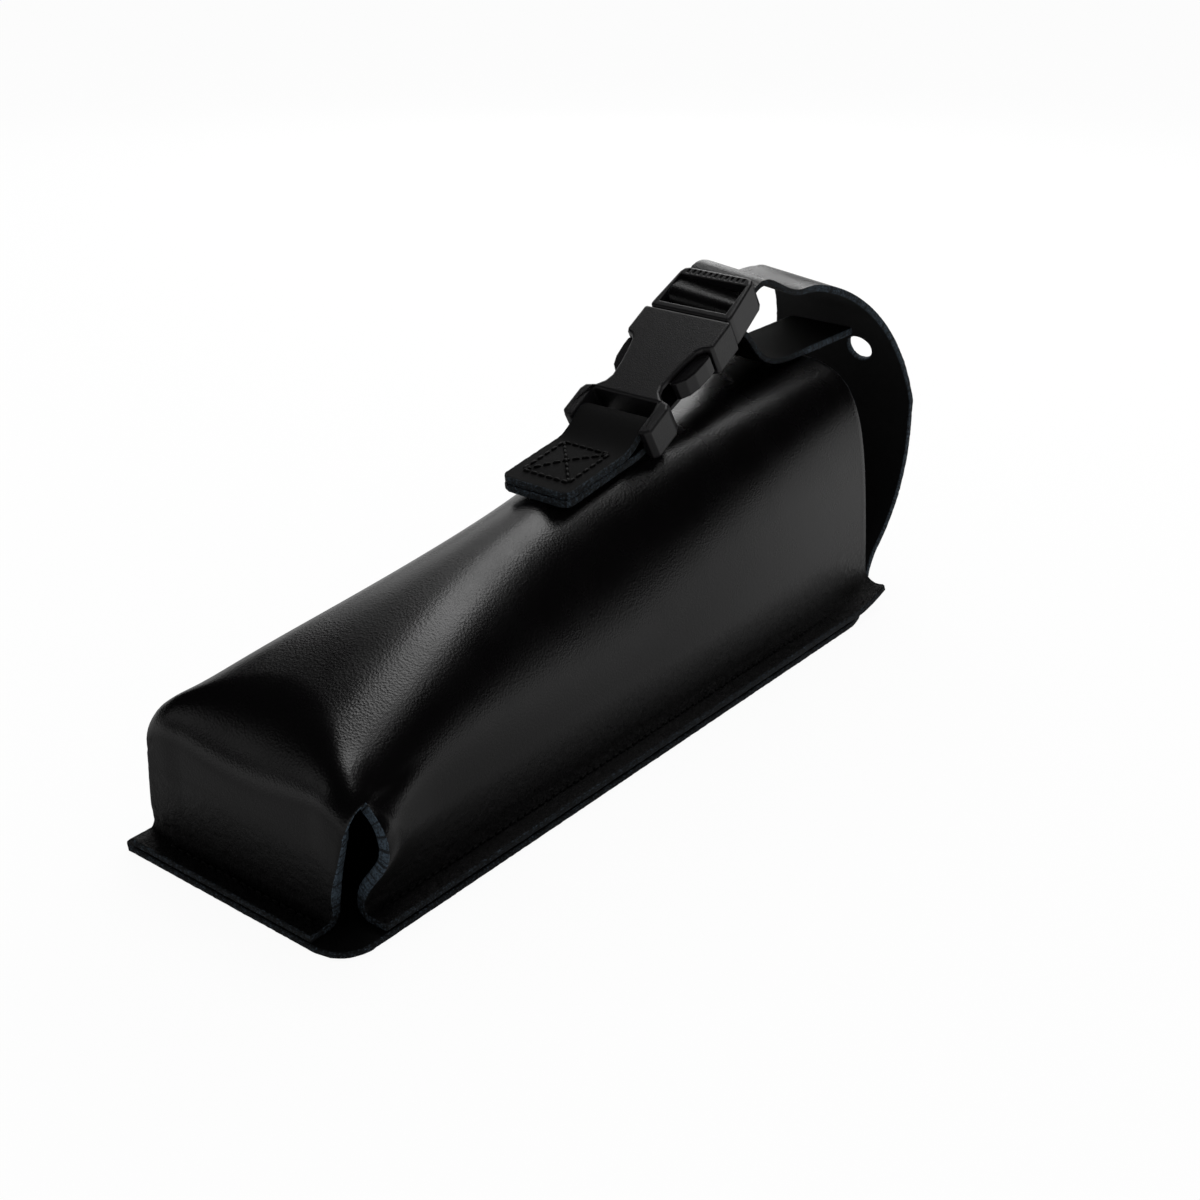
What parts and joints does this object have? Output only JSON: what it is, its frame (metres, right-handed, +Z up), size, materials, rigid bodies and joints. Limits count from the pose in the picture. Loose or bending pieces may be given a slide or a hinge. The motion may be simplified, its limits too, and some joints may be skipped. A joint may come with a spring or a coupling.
{
  "type": "motorcycle saddlebag pouch",
  "caption": "Black leather motorcycle pouch with a curled flap, a strap and a side-release buckle.",
  "frame": {"origin": "bottom centre of the bounding box, as the bag lies on its back", "axes": "+X across the bag, +Y from the closed end to the mouth, +Z up, away from the back panel"},
  "size_m": [0.0904, 0.3, 0.1238],
  "materials": {
    "back_leather": "semi-gloss",
    "front_leather": "semi-gloss",
    "flap_leather": "semi-gloss",
    "tab_leather": "semi-gloss",
    "female_plastic": "fine textured",
    "male_plastic": "fine textured",
    "left_prong_plastic": "fine textured",
    "right_prong_plastic": "fine textured"
  },
  "bodies": {
    "bag": {"back_panel": "back_leather", "front_panel": "front_leather", "buckle_tab": "tab_leather"},
    "flap_leather": {"flap": "flap_leather"},
    "female_buckle": {"female_body": "female_plastic"},
    "male_buckle": {"male_frame": "male_plastic"},
    "left_prong": {"prong_left": "left_prong_plastic"},
    "right_prong": {"prong_right": "right_prong_plastic"}
  },
  "joints": [
    {"name": "flap_swing", "type": "hinge", "parent": "bag", "child": "flap_leather", "pos_m": [0, 0.09531, 0.0012], "axis": [-1, 0, 0], "range_deg": [0, 40], "deforming": ["prong_left", "prong_right"]},
    {"name": "female_swing", "type": "hinge", "parent": "bag", "child": "female_buckle", "pos_m": [0, 0.01499, 0.08682], "axis": [-1, 0, 0], "range_deg": [0, 20]},
    {"name": "male_swing", "type": "hinge", "parent": "flap_leather", "child": "male_buckle", "pos_m": [0, 0.06132, 0.11357], "axis": [-1, 0, 0], "range_deg": [-20, 0]},
    {"name": "left_prong_squeeze", "type": "hinge", "parent": "male_buckle", "child": "left_prong", "pos_m": [-0.0106, 0.05283, 0.10867], "axis": [0, -0.5, 0.866], "range_deg": [0, 9], "stiffness_Nm_per_rad": 1.2},
    {"name": "right_prong_squeeze", "type": "hinge", "parent": "male_buckle", "child": "right_prong", "pos_m": [0.0106, 0.05283, 0.10867], "axis": [0, 0.5, -0.866], "range_deg": [0, 9], "stiffness_Nm_per_rad": 1.2}
  ],
  "couplings": [
    {"joint": "female_swing", "follows": "flap_swing", "ratio": 0.5},
    {"joint": "male_swing", "follows": "flap_swing", "ratio": -0.5}
  ]
}
